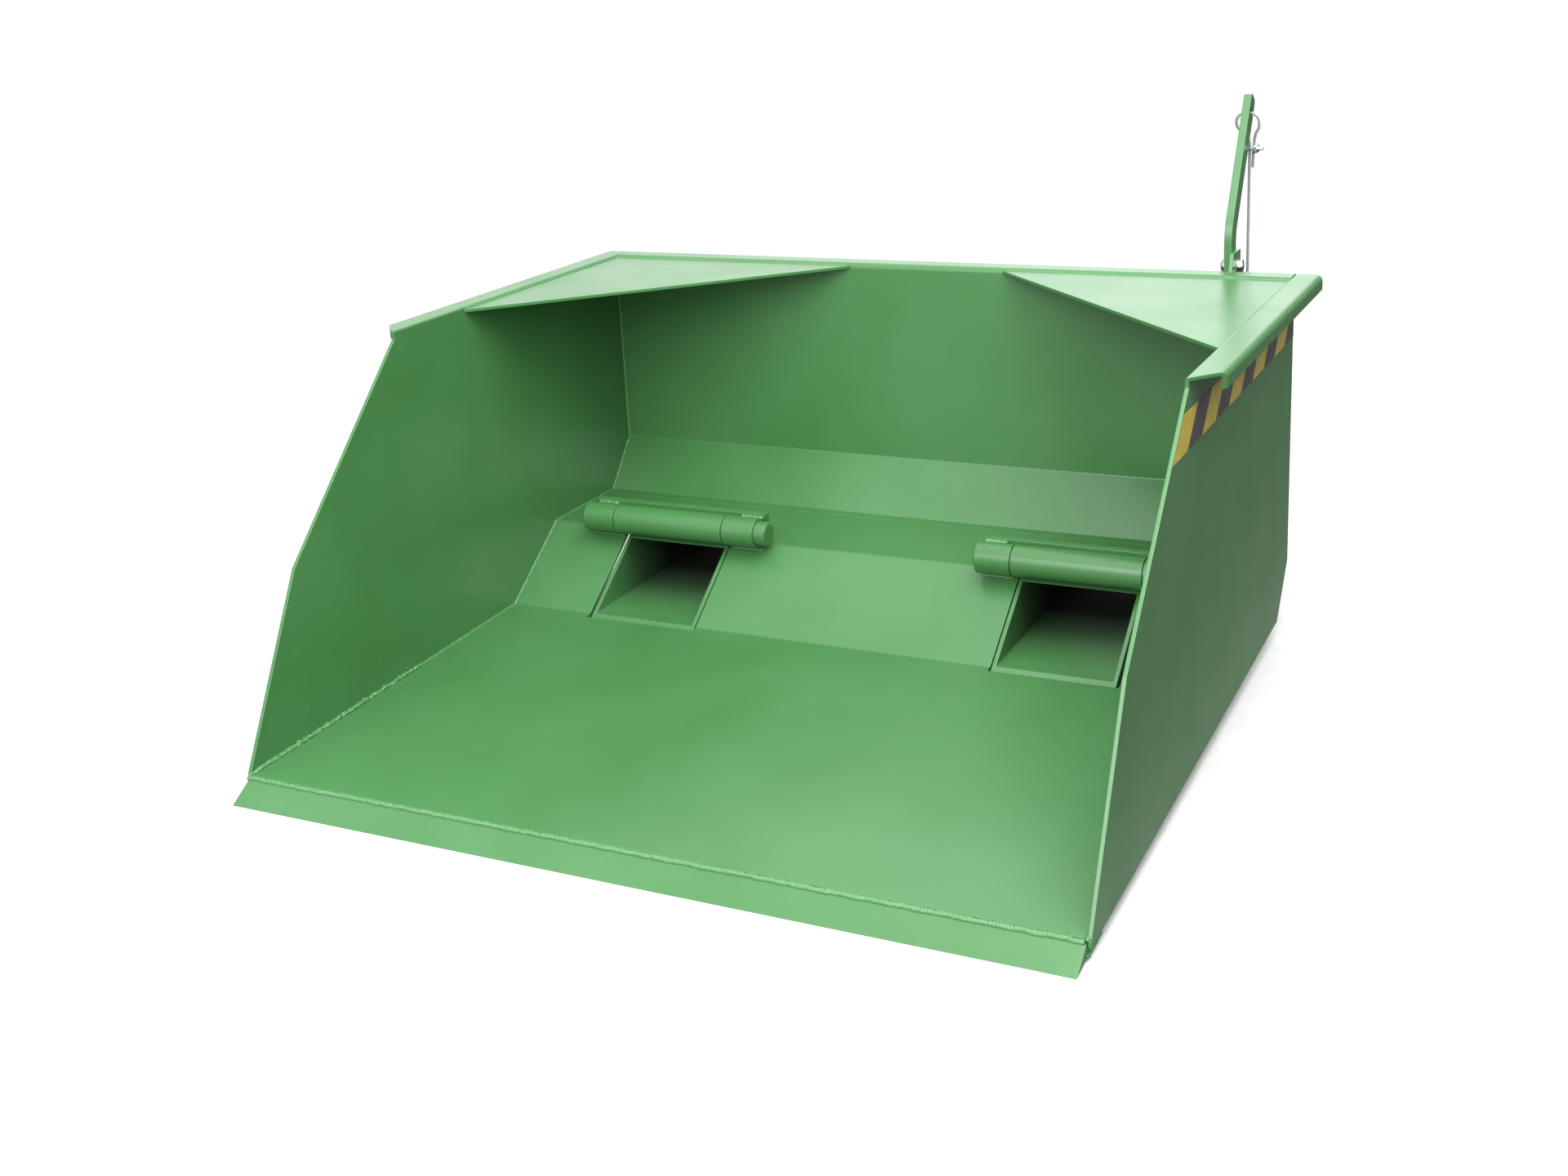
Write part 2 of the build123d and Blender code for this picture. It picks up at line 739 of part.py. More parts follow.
with BuildPart() as rope_clip_saddle:
    with BuildSketch(Plane.YZ.offset(saddle_x)):
        with Locations((eye_y, clip_z)):
            RectangleRounded(2 * (leg_y + saddle_margin) + clip_rod, clip_h, saddle_corner)
        with Locations((eye_y - leg_y, clip_z), (eye_y + leg_y, clip_z)):
            Circle(clip_rod / 2 + bolt_fit, mode=Mode.SUBTRACT)
    extrude(amount=saddle_t)
    with BuildSketch(Plane.XY.offset(clip_z - clip_h)):
        with Locations((tail_x, eye_y)):
            Circle(rope_d / 2 + rope_fit)
    extrude(amount=2 * clip_h, mode=Mode.SUBTRACT)
save("rope_clip_saddle", rope_clip_saddle.part)

for name, leg in (("front", -leg_y), ("back", leg_y)):
    with BuildPart() as clip_nut:
        with BuildSketch(Plane.YZ.offset(nut_face_x)):
            with Locations((eye_y + leg, clip_z)):
                RegularPolygon(clip_nut_flats / 2, 6, major_radius=False)
                Circle(clip_rod / 2 + bolt_fit, mode=Mode.SUBTRACT)
        extrude(amount=clip_nut_t)
    save(f"rope_clip_nut_{name}", clip_nut.part)


# ======================================================================== the tape
def front_edge_y(z):
    """The side plate's front edge between its kink and its top."""
    (y0, z0), (y1, z1) = side_front
    return y0 + (z - z0) * (y1 - y0) / (z1 - z0)


for side in SIDES:
    plane, thickness = from_x(side, half, half + tape_t)
    with BuildPart() as tape:
        with BuildSketch(plane):
            Polygon(
                (front_edge_y(tape_low_z) + tape_margin, tape_low_z),
                (wall_y + sheet_t, tape_low_z),
                (wall_y + sheet_t, tape_high_z),
                (front_edge_y(tape_high_z) + tape_margin, tape_high_z),
                align=None,
            )
        extrude(amount=thickness)
    save(f"hazard_tape_{side}", tape.part)
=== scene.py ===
"""Tipping bucket for a lift truck's forks: its paint, welds, tape, wire rope and studio.

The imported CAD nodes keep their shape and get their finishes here. What CAD leaves plain is
modelled: the weld seams, the stranded rope and the ribbed grip on its end.
Metres, in the frame of the CAD model.
"""

import json
import math
import random

import bpy
from mathutils import Matrix, Vector


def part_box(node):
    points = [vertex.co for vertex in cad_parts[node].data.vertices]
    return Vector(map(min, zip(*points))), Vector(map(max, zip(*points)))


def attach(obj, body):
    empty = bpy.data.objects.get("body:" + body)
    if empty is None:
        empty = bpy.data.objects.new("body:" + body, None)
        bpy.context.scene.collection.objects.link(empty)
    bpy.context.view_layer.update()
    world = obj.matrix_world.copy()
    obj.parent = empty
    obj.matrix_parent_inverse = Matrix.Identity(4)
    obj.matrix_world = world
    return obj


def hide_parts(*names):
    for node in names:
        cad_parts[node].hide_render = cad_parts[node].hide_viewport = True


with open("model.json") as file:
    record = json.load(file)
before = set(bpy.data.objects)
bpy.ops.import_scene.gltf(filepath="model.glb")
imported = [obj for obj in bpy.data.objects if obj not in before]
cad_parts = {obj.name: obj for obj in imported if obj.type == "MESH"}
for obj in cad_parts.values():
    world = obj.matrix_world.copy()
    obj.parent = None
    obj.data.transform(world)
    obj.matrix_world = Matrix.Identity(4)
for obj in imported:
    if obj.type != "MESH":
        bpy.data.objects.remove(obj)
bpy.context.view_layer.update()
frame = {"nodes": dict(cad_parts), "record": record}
nodes = frame["nodes"]
MM = 0.001
TIP_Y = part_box("cutting_edge")[0].y          # the cutting edge's tip
SIDE_IN = -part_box("floor_sheet")[0].x        # |X| of the side plates' inner faces


# ======================================================================== camera
AZIMUTH, ELEVATION, ROLL = map(math.radians, (26.63, 15.79, -2.98))
back = Vector(
    (
        math.sin(AZIMUTH) * math.cos(ELEVATION),
        -math.cos(AZIMUTH) * math.cos(ELEVATION),
        math.sin(ELEVATION),
    )
)
level = Vector((math.cos(AZIMUTH), math.sin(AZIMUTH), 0))
upright = back.cross(level)
right = math.cos(ROLL) * level + math.sin(ROLL) * upright
up = back.cross(right)
lens = bpy.data.cameras.new("camera")
lens.lens = 42.25
lens.sensor_width = 36
lens.shift_y = -0.0882                       # keeps the bucket's height in the frame
camera = bpy.data.objects.new("camera", lens)
bpy.context.scene.collection.objects.link(camera)
camera.matrix_world = Matrix.Translation((1.1276, -2.3536, 1.1121)) @ Matrix(
    (right, up, back)
).transposed().to_4x4()
bpy.context.scene.camera = camera


# ======================================================================== making pieces
def only(*things):
    """Leave these objects selected and nothing else, the first one active."""
    bpy.ops.object.select_all(action="DESELECT")
    for thing in things:
        thing.select_set(True)
    bpy.context.view_layer.objects.active = things[0]


def made(name):
    """The primitive just added, under its name."""
    piece = bpy.context.object
    piece.name = piece.data.name = name
    return piece


def apply_modifier(piece, kind, **settings):
    """Put a modifier on the piece and apply it."""
    modifier = piece.modifiers.new(kind.lower(), kind)
    for key, value in settings.items():
        setattr(modifier, key, value)
    only(piece)
    bpy.ops.object.modifier_apply(modifier=modifier.name)


def settle(piece):
    """Move the piece's place, turn and size into its mesh."""
    only(piece)
    bpy.ops.object.transform_apply(location=True, rotation=True, scale=True)


def joined(name, pieces):
    """Several objects made one, under a name."""
    only(*pieces)
    bpy.ops.object.join()
    return made(name)


def smooth(piece, angle=180):
    """Smooth shading over the edges flatter than an angle in degrees."""
    only(piece)
    bpy.ops.object.shade_smooth_by_angle(angle=math.radians(angle))


def turned(name, profile, centre, sides=40):
    """A closed round piece about the vertical through a centre, from (radius, z) rings."""
    (r, z), rest = profile[0], profile[1:]
    bpy.ops.object.select_all(action="DESELECT")
    bpy.ops.mesh.primitive_circle_add(
        vertices=sides, radius=r, fill_type="NGON", location=(centre.x, centre.y, z)
    )
    piece = made(name)
    settle(piece)
    bpy.ops.object.mode_set(mode="EDIT")
    bpy.ops.mesh.select_all(action="SELECT")
    for next_r, next_z in rest:
        bpy.ops.mesh.extrude_region_move(
            TRANSFORM_OT_translate={"value": (0, 0, next_z - z)}
        )
        bpy.ops.transform.resize(
            value=(next_r / r, next_r / r, 1), center_override=(centre.x, centre.y, next_z)
        )
        r, z = next_r, next_z
    bpy.ops.mesh.select_all(action="SELECT")
    bpy.ops.mesh.normals_make_consistent(inside=False)
    bpy.ops.object.mode_set(mode="OBJECT")
    smooth(piece, 50)
    return piece


# ======================================================================== materials
def linear(colour):
    """An sRGB hex colour as linear RGBA."""
    parts = [int(colour[i : i + 2], 16) / 255 for i in (1, 3, 5)]
    return [c / 12.92 if c <= 0.04045 else ((c + 0.055) / 1.055) ** 2.4 for c in parts] + [1]


def add(tree, kind, links=None, **settings):
    """A node with its settings. Links holds inputs' values or the sockets that feed them."""
    node = tree.nodes.new(kind)
    for key, value in settings.items():
        setattr(node, key, value)
    for key, value in (links or {}).items():
        if isinstance(value, bpy.types.NodeSocket):
            tree.links.new(value, node.inputs[key])
        else:
            node.inputs[key].default_value = value
    return node


def measure(tree, operation, *values):
    """The result of a calculation on values or sockets."""
    node = add(tree, "ShaderNodeMath", dict(enumerate(values)), operation=operation)
    return node.outputs["Value"]


def remap(tree, value, low, high, to_low=0.0, to_high=1.0):
    """A value's place between low and high, carried over to another range and held inside it."""
    links = {"Value": value, "From Min": low, "From Max": high, "To Min": to_low, "To Max": to_high}
    return add(tree, "ShaderNodeMapRange", links).outputs["Result"]


def noise(tree, vector, scale, detail):
    """A cloudy noise, with its number of cells to the metre."""
    links = {"Vector": vector, "Scale": scale, "Detail": detail}
    return add(tree, "ShaderNodeTexNoise", links).outputs["Fac"]


def mixed(tree, factor, first, second, **kind):
    """One value or colour turning into another as the factor grows."""
    links = {"Factor": factor, "A": first, "B": second}
    return add(tree, "ShaderNodeMix", links, **kind).outputs["Result"]


def bumped(tree, height, strength, distance, normal=None):
    """The normal of a surface that is raised by a height."""
    links = {"Height": height, "Strength": strength, "Distance": distance}
    if normal is not None:
        links["Normal"] = normal
    return add(tree, "ShaderNodeBump", links).outputs["Normal"]


def new_material(name):
    """A material with its tree, its shader and its texture coordinates."""
    material = bpy.data.materials.new(name)
    material.use_nodes = True
    tree = material.node_tree
    return material, tree, tree.nodes["Principled BSDF"], add(tree, "ShaderNodeTexCoord").outputs


def shades(tree, factor, stops):
    """A colour ramp from (place, hex colour) stops."""
    ramp = add(tree, "ShaderNodeValToRGB", {"Fac": factor})
    ramp.color_ramp.elements[0].position, ramp.color_ramp.elements[-1].position = (
        stops[0][0],
        stops[-1][0],
    )
    for place, _ in stops[1:-1]:
        ramp.color_ramp.elements.new(place)
    for stop, (_, colour) in zip(ramp.color_ramp.elements, stops):
        stop.color = linear(colour)
    return ramp.outputs["Color"]


def set_shader(tree, shader, **values):
    """Give the shader's inputs their values or the sockets that feed them."""
    for key, value in values.items():
        entry = shader.inputs[key.replace("_", " ")]
        if isinstance(value, bpy.types.NodeSocket):
            tree.links.new(value, entry)
        else:
            entry.default_value = value


def machine_enamel(name="green_machine_enamel"):
    """Alkyd enamel, sprayed in one coat over rolled and folded steel sheet.

    It gives a semi-gloss mid green with a fine orange peel, reflections that waver with the
    sheet's slow waves, edges lightened as a painted highlight that also stands for thinner
    paint there, and patches a little duller than their surroundings.
    """
    material, tree, shader, place = new_material(name)
    spot = place["Object"]
    coat = noise(tree, spot, 5.0, 3.0)
    # spray dust of about 4 mm: the real grain of 0.5 mm is too fine to show
    grain = noise(tree, spot, 240.0, 2.0)
    tint = mixed(tree, 0.22, coat, grain)
    green = shades(tree, tint, [(0.2, "#356533"), (0.8, "#437244")])
    # an edge is where the rounded normal leaves the flat one; there the green is lightened, a
    # painted highlight and thinner paint
    rounded = add(tree, "ShaderNodeBevel", {"Radius": 1.6 * MM}, samples=6).outputs["Normal"]
    flat = add(tree, "ShaderNodeNewGeometry").outputs["True Normal"]
    along = add(tree, "ShaderNodeVectorMath", {0: rounded, 1: flat}, operation="DOT_PRODUCT")
    edge = remap(tree, along.outputs["Value"], 0.995, 0.86, 0.0, 0.4)
    # the sheet's waves, about 250 mm long and some tenths of a millimetre high
    waved = bumped(tree, noise(tree, spot, 4.0, 1.0), 0.5, 0.5 * MM, rounded)
    # orange peel: 2 mm in the real coat, 5 mm here so that it shows
    peeled = bumped(tree, noise(tree, spot, 190.0, 1.0), 0.25, 0.05 * MM, waved)
    set_shader(
        tree,
        shader,
        # painted highlight: the green turns lighter along the edges
        Base_Color=mixed(tree, edge, green, linear("#649C66"), data_type="RGBA"),
        Roughness=remap(tree, noise(tree, spot, 7.0, 4.0), 0.15, 0.85, 0.26, 0.36),
        Normal=peeled,
        IOR=1.5,
    )
    return material


def pocket_enamel():
    """The same enamel on a fork pocket, whose tube the spray is taken to have hardly reached.

    Inside the tube the coat turns dull from the mouth inward, and its green darkens to near
    black there as painted shade; the outside stays as green as the rest.
    """
    material = machine_enamel("green_enamel_painted_shade_in_fork_pockets")
    tree = material.node_tree
    shader = tree.nodes["Principled BSDF"]
    place = add(tree, "ShaderNodeTexCoord").outputs["Object"]
    axes = add(tree, "ShaderNodeSeparateXYZ", {"Vector": place}).outputs
    low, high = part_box("fork_pocket_right")
    wall = 5.5 * MM                         # a little less than the tube's, to take in its faces
    across = measure(tree, "ABSOLUTE", axes["X"])
    inward_dullness_and_painted_shade = remap(tree, axes["Y"], low.y + 40 * MM, low.y + 260 * MM)
    for axis, middle, reach in (
        (across, (low.x + high.x) / 2, (high.x - low.x) / 2 - wall),
        (axes["Z"], (low.z + high.z) / 2, (high.z - low.z) / 2 - wall),
    ):
        inward_dullness_and_painted_shade = measure(tree, "MULTIPLY", inward_dullness_and_painted_shade, measure(tree, "COMPARE", axis, middle, reach))
    green = shader.inputs["Base Color"].links[0].from_socket
    gloss = shader.inputs["Roughness"].links[0].from_socket
    set_shader(
        tree,
        shader,
        # painted shade: inside the tube the green darkens to near black from the mouth inward
        Base_Color=mixed(tree, inward_dullness_and_painted_shade, green, linear("#171B14"), data_type="RGBA"),
        Roughness=mixed(tree, inward_dullness_and_painted_shade, gloss, 0.95),
        Specular_IOR_Level=remap(tree, inward_dullness_and_painted_shade, 0.0, 1.0, 0.5, 0.05),
    )
    return material


def plated_steel(name, low, high, roughness):
    """Zinc-plated steel: a cold grey metal, clouded by its plating, with duller spots."""
    material, tree, shader, place = new_material(name)
    cloud = noise(tree, place["Object"], 260.0, 4.0)
    rounded = add(tree, "ShaderNodeBevel", {"Radius": 0.6 * MM}, samples=4).outputs["Normal"]
    set_shader(
        tree,
        shader,
        Base_Color=shades(tree, cloud, [(0.25, low), (0.75, high)]),
        Roughness=remap(tree, cloud, 0.0, 1.0, roughness - 0.08, roughness + 0.12),
        Normal=bumped(tree, cloud, 0.3, 0.1 * MM, rounded),
        Metallic=1.0,
    )
    return material


def rope_wire():
    """Galvanised rope wire: dull grey, darkened by painted shade down in the grooves between the
    strands.

    The wires show as fine lines that run across each strand.
    """
    material, tree, shader, place = new_material("galvanised_rope_wire")
    depth = add(tree, "ShaderNodeAttribute", attribute_name="groove").outputs["Fac"]
    wires = add(
        tree,
        "ShaderNodeTexWave",
        {"Vector": place["UV"], "Scale": 1.0, "Distortion": 0.0},
        bands_direction="DIAGONAL",
    )
    set_shader(
        tree,
        shader,
        # painted shade: the grey darkens with depth into the grooves between the strands
        Base_Color=shades(tree, depth, [(0.0, "#C9CDCA"), (0.5, "#9BA09D"), (1.0, "#3E423F")]),
        Normal=bumped(tree, wires.outputs["Fac"], 0.6, 0.2 * MM),
        Metallic=1.0,
        Roughness=0.42,
    )
    return material


def grip_rubber():
    """Moulded black rubber: matt, with a fine pebble and grey dust that has settled on it."""
    material, tree, shader, place = new_material("black_moulded_rubber")
    pebble = noise(tree, place["Object"], 900.0, 2.0)
    set_shader(
        tree,
        shader,
        Base_Color=shades(tree, pebble, [(0.3, "#17181A"), (0.7, "#2B2D2F")]),
        Normal=bumped(tree, pebble, 0.4, 0.15 * MM),
        Roughness=0.62,
    )
    return material


STRIPE_LEAN = 1.0186                        # a stripe's run along Y for each unit of height
STRIPE_PAIR = 146.8 * MM                    # a yellow and a dark stripe together, along Y


def warning_tape():
    """Printed PVC tape: yellow and dark slanting stripes, glossy, with small puckers and grime."""
    material, tree, shader, place = new_material("printed_vinyl_tape")
    low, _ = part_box("hazard_tape_right")
    axes = add(tree, "ShaderNodeSeparateXYZ", {"Vector": place["Object"]}).outputs
    raised = measure(tree, "MULTIPLY_ADD", axes["Z"], -STRIPE_LEAN, axes["Y"])
    start = low.y - STRIPE_LEAN * low.z
    pairs = measure(tree, "MULTIPLY_ADD", raised, 1 / STRIPE_PAIR, -start / STRIPE_PAIR)
    # the border between two stripes is 0.6 mm wide
    dark = remap(tree, measure(tree, "FRACT", pairs), 0.498, 0.502)
    worn = noise(tree, place["Object"], 45.0, 6.0)
    yellow = shades(tree, worn, [(0.2, "#AC982F"), (0.8, "#C0AC45")])
    black = shades(tree, worn, [(0.2, "#352C30"), (0.8, "#4A4045")])
    # puckers of about 15 mm where the tape went on
    pucker = noise(tree, place["Object"], 70.0, 2.0)
    set_shader(
        tree,
        shader,
        Base_Color=mixed(tree, dark, yellow, black, data_type="RGBA"),
        Normal=bumped(tree, pucker, 0.35, 0.4 * MM),
        Roughness=0.3,
        IOR=1.5,
    )
    return material


FINISHES = {
    "green_paint": machine_enamel(),
    "bolt_steel": plated_steel("zinc_plated_steel", "#8E908E", "#B9BBB8", 0.34),
    "zinc": plated_steel("blue_passivated_zinc", "#8FA3AC", "#C3D2D8", 0.26),
    "wire_rope": rope_wire(),
    "grip": grip_rubber(),
    "tape": warning_tape(),
}


def finish_as(piece, slot, body):
    """Give a new piece its finish and its body."""
    piece.data.materials.clear()
    piece.data.materials.append(FINISHES[slot])
    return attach(piece, body)


POCKET_FINISH = pocket_enamel()
for part in frame["record"]["subparts"]:
    node = nodes[part["node"]]
    in_pocket = part["node"].startswith("fork_pocket")
    for slot in node.material_slots:
        slot.material = POCKET_FINISH if in_pocket else FINISHES[part["material_slot"]]


# ======================================================================== the pull rope
ROPE_D = 5 * MM
ROPE_Y = (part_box("pull_rope")[0].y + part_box("pull_rope")[1].y) / 2
ROPE_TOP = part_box("pull_rope")[1].z
# (x, z) from the short end beside the clip, through the lever's hole and down to the ferrule
ROPE_ROUTE = [
    (0.4980, ROPE_TOP - 0.0870),
    (0.4980, ROPE_TOP - 0.0370),
    (0.5090, ROPE_TOP - 0.0225),
    (0.5030, ROPE_TOP - 0.0005),
    (0.4735, ROPE_TOP - 0.0005),
    (0.4685, ROPE_TOP - 0.0225),
    (0.4925, ROPE_TOP - 0.0380),
    (0.4925, ROPE_TOP - 0.0682),
    (0.4925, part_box("pull_rope")[0].z),
]
STRANDS = 6
STRAND_R = ROPE_D / 6
LAY = 32 * MM                               # one turn of a strand round the rope


def rope_line():
    """Points along the rope's NURBS line."""
    curve = bpy.data.curves.new("rope_route", "CURVE")
    curve.dimensions = "3D"
    curve.resolution_u = 48
    spline = curve.splines.new("NURBS")
    spline.points.add(len(ROPE_ROUTE) - 1)
    for point, (x, z) in zip(spline.points, ROPE_ROUTE):
        point.co = (x, ROPE_Y, z, 1)
    spline.order_u = 3
    spline.use_endpoint_u = True
    route = bpy.data.objects.new("rope_route", curve)
    bpy.context.scene.collection.objects.link(route)
    mesh = bpy.data.meshes.new_from_object(route)
    points = [v.co.copy() for v in mesh.vertices]
    bpy.data.objects.remove(route)
    bpy.data.meshes.remove(mesh)
    return points


def even(points, spacing):
    """The same line with points at even spacing."""
    marks = [0.0]
    for a, b in zip(points, points[1:]):
        marks.append(marks[-1] + (b - a).length)
    count = math.ceil(marks[-1] / spacing)
    found, i = [], 0
    for k in range(count + 1):
        target = marks[-1] * k / count
        while i < len(points) - 2 and marks[i + 1] < target:
            i += 1
        span = marks[i + 1] - marks[i]
        found.append(points[i].lerp(points[i + 1], (target - marks[i]) / span if span else 0))
    return found


def stranded(name, line):
    """A rope's skin: six strands that wind round the line."""
    per_strand = 8
    ring = STRANDS * per_strand
    centre_r = ROPE_D / 2 - STRAND_R
    outline = []
    for k in range(ring):
        off = (k % per_strand / per_strand - 0.5) * 2 * math.pi / STRANDS
        reach = math.sqrt(max(STRAND_R**2 - (centre_r * math.sin(off)) ** 2, 0))
        outline.append((2 * math.pi * k / ring, centre_r * math.cos(off) + reach))
    lowest = min(r for _, r in outline)
    vertices, faces, grooves = [], [], []
    side = Vector((0, 1, 0))
    run = 0.0
    for i, point in enumerate(line):
        ahead = (line[min(i + 1, len(line) - 1)] - line[max(i - 1, 0)]).normalized()
        across = ahead.cross(side)
        run += (point - line[i - 1]).length if i else 0
        twist = 2 * math.pi * run / LAY
        for angle, r in outline:
            turn = angle + twist
            vertices.append(point + r * (math.cos(turn) * side + math.sin(turn) * across))
            grooves.append((ROPE_D / 2 - r) / (ROPE_D / 2 - lowest))
    for i in range(len(line) - 1):
        for k in range(ring):
            a, b = i * ring + k, i * ring + (k + 1) % ring
            faces.append((a, b, b + ring, a + ring))
    faces.append(tuple(range(ring)))
    faces.append(tuple(range(len(vertices) - ring, len(vertices))))
    mesh = bpy.data.meshes.new(name)
    mesh.from_pydata(vertices, [], faces)
    groove = mesh.attributes.new("groove", "FLOAT", "POINT")
    groove.data.foreach_set("value", grooves)
    uv = mesh.uv_layers.new(name="along")
    wire = 0.55 * MM                        # the outer wires of a strand
    for loop, corner in zip(mesh.loops, uv.data):
        i, k = divmod(loop.vertex_index, ring)
        corner.uv = (i * ROPE_D / 4 / wire, k / per_strand * 7)
    piece = bpy.data.objects.new(name, mesh)
    bpy.context.scene.collection.objects.link(piece)
    only(piece)
    bpy.ops.object.mode_set(mode="EDIT")
    bpy.ops.mesh.select_all(action="SELECT")
    bpy.ops.mesh.normals_make_consistent(inside=False)
    bpy.ops.object.mode_set(mode="OBJECT")
    smooth(piece, 60)
    return piece


line = even(rope_line(), ROPE_D / 2.5)
rope = finish_as(stranded("wire_rope_strands", line), "wire_rope", "lever")
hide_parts("pull_rope")

grip_low, grip_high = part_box("pull_grip")
grip_axis = (grip_low + grip_high) / 2
RIBS, RIB_H = 9, 1.4 * MM
core_r = grip_high.x - grip_axis.x - RIB_H
rib_pitch = (grip_high.z - grip_low.z - 24 * MM) / RIBS
profile = [(core_r - 5 * MM, grip_low.z), (core_r - 1.5 * MM, grip_low.z + 1 * MM),
           (core_r + RIB_H, grip_low.z + 4 * MM), (core_r + RIB_H, grip_low.z + 9 * MM),
           (core_r, grip_low.z + 11 * MM)]
for rib in range(RIBS):
    foot = grip_low.z + 12 * MM + rib * rib_pitch
    profile += [
        (core_r, foot + rib_pitch * 0.16),
        (core_r + RIB_H * 0.8, foot + rib_pitch * 0.3),
        (core_r + RIB_H, foot + rib_pitch * 0.5),
        (core_r + RIB_H * 0.8, foot + rib_pitch * 0.7),
        (core_r, foot + rib_pitch * 0.84),
    ]
profile += [(core_r, grip_high.z - 11 * MM), (core_r + RIB_H, grip_high.z - 9 * MM),
            (core_r + RIB_H, grip_high.z - 4 * MM), (core_r - 1.5 * MM, grip_high.z - 1 * MM),
            (core_r - 5 * MM, grip_high.z)]
grip = finish_as(turned("ribbed_grip", profile, grip_axis), "grip", "lever")
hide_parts("pull_grip")


# ======================================================================== the welds
bead_texture = bpy.data.textures.new("bead_lumps", "CLOUDS")
bead_texture.noise_scale = 9 * MM
bpy.ops.object.select_all(action="DESELECT")
bpy.ops.mesh.primitive_uv_sphere_add(segments=8, ring_count=5, radius=1)
ripple = made("weld_ripple")
bpy.ops.object.mode_set(mode="EDIT")
bpy.ops.mesh.select_all(action="SELECT")
bpy.ops.transform.resize(value=(0.8, 1, 1), center_override=(0, 0, 0))
bpy.ops.mesh.select_all(action="DESELECT")
bpy.ops.object.mode_set(mode="OBJECT")
for vertex in ripple.data.vertices:
    vertex.select = vertex.co.x < -0.1
bpy.ops.object.mode_set(mode="EDIT")
bpy.ops.transform.resize(value=(1.5, 0.82, 0.82), center_override=(0, 0, 0))
bpy.ops.object.mode_set(mode="OBJECT")


def at(x, behind, z):
    """A place in millimetres: across, behind the cutting edge's tip, and over the ground."""
    return Vector((x * MM, TIP_Y + behind * MM, z * MM))


def bead(start, end, radius, lumps=0.25, flat=1.0):
    """One straight run of weld: overlapping ripples, uneven along their run."""
    run = end - start
    pitch = 0.9 * radius
    count = max(2, round(run.length / pitch))
    piece = bpy.data.objects.new("bead", ripple.data.copy())
    bpy.context.scene.collection.objects.link(piece)
    along = run.normalized()
    side = along.cross(Vector((0, 0, 1)))
    side = side.normalized() if side.length > 0.1 else Vector((1, 0, 0))
    turn = Matrix((along, side, along.cross(side))).transposed().to_4x4()
    piece.matrix_world = (
        Matrix.Translation(start) @ turn @ Matrix.Diagonal((radius, radius, radius * flat, 1))
    )
    step = (run.length - radius) / (count - 1) / radius
    apply_modifier(
        piece,
        "ARRAY",
        count=count,
        use_relative_offset=False,
        use_constant_offset=True,
        constant_offset_displace=(step, 0, 0),
    )
    settle(piece)
    apply_modifier(
        piece,
        "DISPLACE",
        texture=bead_texture,
        texture_coords="GLOBAL",
        strength=radius * lumps * 2,
        mid_level=0.5,
    )
    return piece


def weld(name, body, paths, radius, **how):
    """Weld along every path's runs, as one piece of painted steel."""
    runs = [bead(a, b, radius, **how) for path in paths for a, b in zip(path, path[1:])]
    piece = joined(name, runs)
    smooth(piece)
    return finish_as(piece, "green_paint", body)


def stitches(start, end, length, gap):
    """Short runs along a line, with gaps between them."""
    run = end - start
    count = int((run.length + gap) / (length + gap))
    lead = (run.length - count * (length + gap) + gap) / 2
    ahead = run.normalized()
    first = [start + ahead * (lead + k * (length + gap)) for k in range(count)]
    return [[point, point + ahead * length] for point in first]


SECTION = [(41, 27), (693, 43.5), (838.6, 146), (1029, 146), (1101, 228)]   # inside faces
WALL_BACK, GUSSET_TOP, GUSSET_LOW = 1101, 560, 555
inner = SIDE_IN / MM
for label, sign in (("left", -1), ("right", 1)):
    x = sign * inner
    weld(
        f"weld_floor_{label}",
        "bucket",
        [[at(x, behind, z) for behind, z in SECTION]],
        3.6 * MM,
        lumps=0.45,
        flat=0.75,
    )
    weld(
        f"weld_corner_{label}",
        "bucket",
        [[at(x, WALL_BACK, 228), at(x, WALL_BACK, GUSSET_LOW)]],
        2.6 * MM,
    )
    weld(
        f"weld_gusset_{label}",
        "bucket",
        [
            [at(x, 640, z), at(x, WALL_BACK, z), at(sign * 141, WALL_BACK, z)]
            for z in (GUSSET_TOP, GUSSET_LOW)
        ],
        1.9 * MM,
    )
    weld(
        f"weld_back_corner_{label}",
        "bucket",
        [[at(x, 1106, 113), at(x, 1106, 541)]],
        2.6 * MM,
    )
    weld(
        f"weld_under_floor_{label}",
        "bucket",
        stitches(at(x, 100, 23.5), at(x, 690, 38.3), 60 * MM, 130 * MM),
        3.4 * MM,
    )
    weld(
        f"weld_edge_end_{label}",
        "bucket",
        [[at(sign * 597.5, 41, 18), at(sign * 597.5, 41, 27)], [at(x, 41, 6), at(x, 90, 10)]],
        3 * MM,
    )

edge_seam = [at(-inner, 39.5, 22.6), at(inner, 39.5, 22.6)]
weld("weld_edge_top", "bucket", [edge_seam], 4.8 * MM, lumps=0.3)
# the left floor seam has a second, rough run over its front half
weld(
    "weld_floor_left_rough",
    "bucket",
    [[at(-inner + 1.5, 50, 28.5), at(-inner + 1.5, 430, 38)]],
    5 * MM,
    lumps=0.7,
    flat=0.75,
)
weld("weld_edge_under", "bucket", [[at(-inner, 90, 23), at(inner, 90, 23)]], 3.8 * MM)
weld("weld_shelf", "bucket", [[at(-inner, 1010, 144.8), at(inner, 1010, 144.8)]], 2 * MM, flat=0.8)

